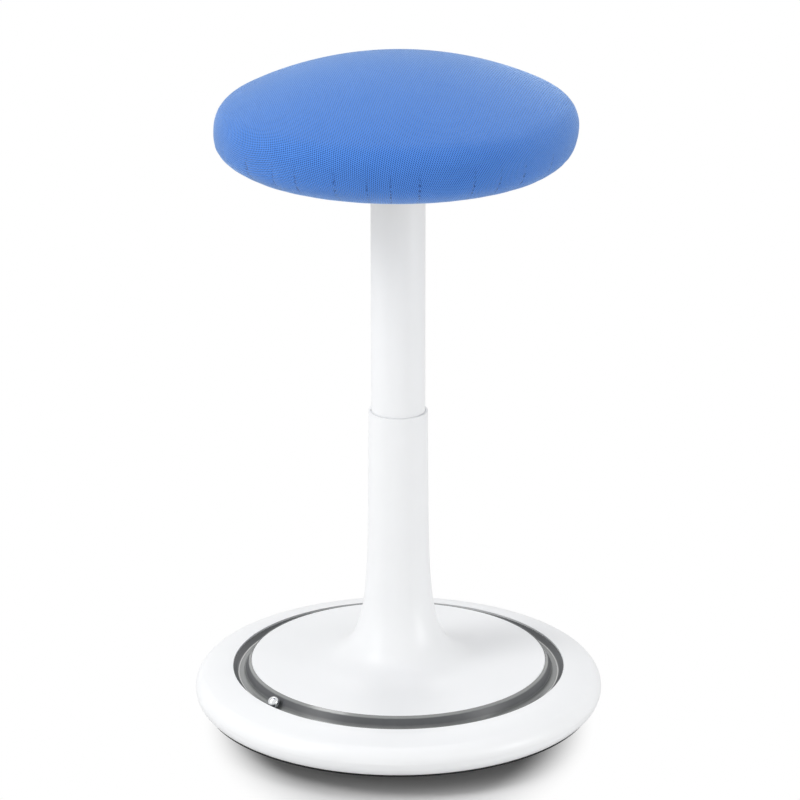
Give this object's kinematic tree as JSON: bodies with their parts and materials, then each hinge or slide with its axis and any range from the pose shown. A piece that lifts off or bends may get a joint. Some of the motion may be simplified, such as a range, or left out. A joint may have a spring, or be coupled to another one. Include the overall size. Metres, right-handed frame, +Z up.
{
  "type": "wobble stool",
  "caption": "Active-sitting stool with a round blue cushion on a height-adjustable swivelling column over a weighted, domed rocking base with a ball track.",
  "frame": {"origin": "on the floor, on the column's axis, at the middle of the flat part of the rubber sole", "axes": "+Z up along the column, -Y towards the front as pictured, +X to the sitter's and the viewer's right in the picture; the release lever points to +Y"},
  "size_m": [0.3822, 0.3822, 0.6394],
  "materials": {
    "white_plastic": "satin moulded ABS, white",
    "white_paint": "white powder-coated steel tube",
    "track_plastic": "grey moulded polyamide",
    "black_plastic": "black glass-filled polyamide",
    "natural_plastic": "natural acetal",
    "sole_rubber": "black rubber",
    "black_steel": "black painted steel",
    "zinc_steel": "zinc-plated steel",
    "bright_steel": "polished steel",
    "plywood": "birch plywood",
    "foam": "moulded polyurethane foam",
    "blue_fabric": "blue knitted polyester upholstery fabric"
  },
  "bodies": {
    "base": {"rubber_sole": "sole_rubber", "rocker_pan": "black_plastic", "ballast_plate": "black_steel", "stand_tube": "black_steel", "flange_bolts": "zinc_steel", "ball_track": "track_plastic", "track_screws": "zinc_steel", "base_ring": "white_plastic", "ring_screws": "zinc_steel", "column_cover": "white_plastic", "cover_screws": "zinc_steel", "cylinder_guide_bush": "natural_plastic", "tube_glide_sleeve": "natural_plastic", "bearing_washer_lower": "bright_steel"},
    "track_ball": {"track_ball": "bright_steel"},
    "bearing_cage": {"bearing_cage": "natural_plastic", "bearing_balls": "bright_steel"},
    "piston_rod": {"piston_rod": "bright_steel", "piston": "zinc_steel", "piston_seal": "sole_rubber", "bearing_washer_upper": "bright_steel", "rubber_buffer": "sole_rubber", "clip_washer": "zinc_steel", "rod_clip": "zinc_steel"},
    "seat": {"gas_cylinder": "black_steel", "cylinder_end_guide": "zinc_steel", "upper_tube": "white_paint", "tube_top_bush": "natural_plastic", "seat_plate": "black_steel", "lever_pivot_pin": "zinc_steel", "seat_bolts": "zinc_steel", "tee_nuts": "zinc_steel", "seat_board": "plywood", "seat_foam": "foam", "seat_cover": "blue_fabric", "cover_staples": "zinc_steel", "seat_undercover": "black_plastic", "undercover_screws": "zinc_steel"},
    "release_lever": {"release_lever": "black_steel", "lever_grip": "black_plastic"},
    "release_pin": {"release_pin": "zinc_steel"}
  },
  "joints": [
    {"name": "ball_roll", "type": "hinge", "parent": "base", "child": "track_ball", "pos_m": [0, 0, 0.055], "axis": [0, 0, 1], "continuous": true},
    {"name": "seat_swivel", "type": "hinge", "parent": "base", "child": "piston_rod", "pos_m": [0, 0, 0.045], "axis": [0, 0, 1], "continuous": true},
    {"name": "bearing_roll", "type": "hinge", "parent": "base", "child": "bearing_cage", "pos_m": [0, 0, 0.045], "axis": [0, 0, 1], "continuous": true},
    {"name": "seat_height", "type": "slide", "parent": "piston_rod", "child": "seat", "axis": [0, 0, 1], "range_m": [-0.18, 0]},
    {"name": "release_lever", "type": "hinge", "parent": "seat", "child": "release_lever", "pos_m": [0, 0.022, 0.5373], "axis": [1, 0, 0], "range_deg": [0, 5], "stiffness_Nm_per_rad": 2, "springref_deg": -2.86},
    {"name": "release_pin", "type": "slide", "parent": "seat", "child": "release_pin", "axis": [0, 0, -1], "range_m": [0, 0.002]}
  ],
  "couplings": [
    {"joint": "bearing_roll", "follows": "seat_swivel", "ratio": 0.5},
    {"joint": "release_pin", "follows": "release_lever", "m_per_rad": 0.022}
  ]
}
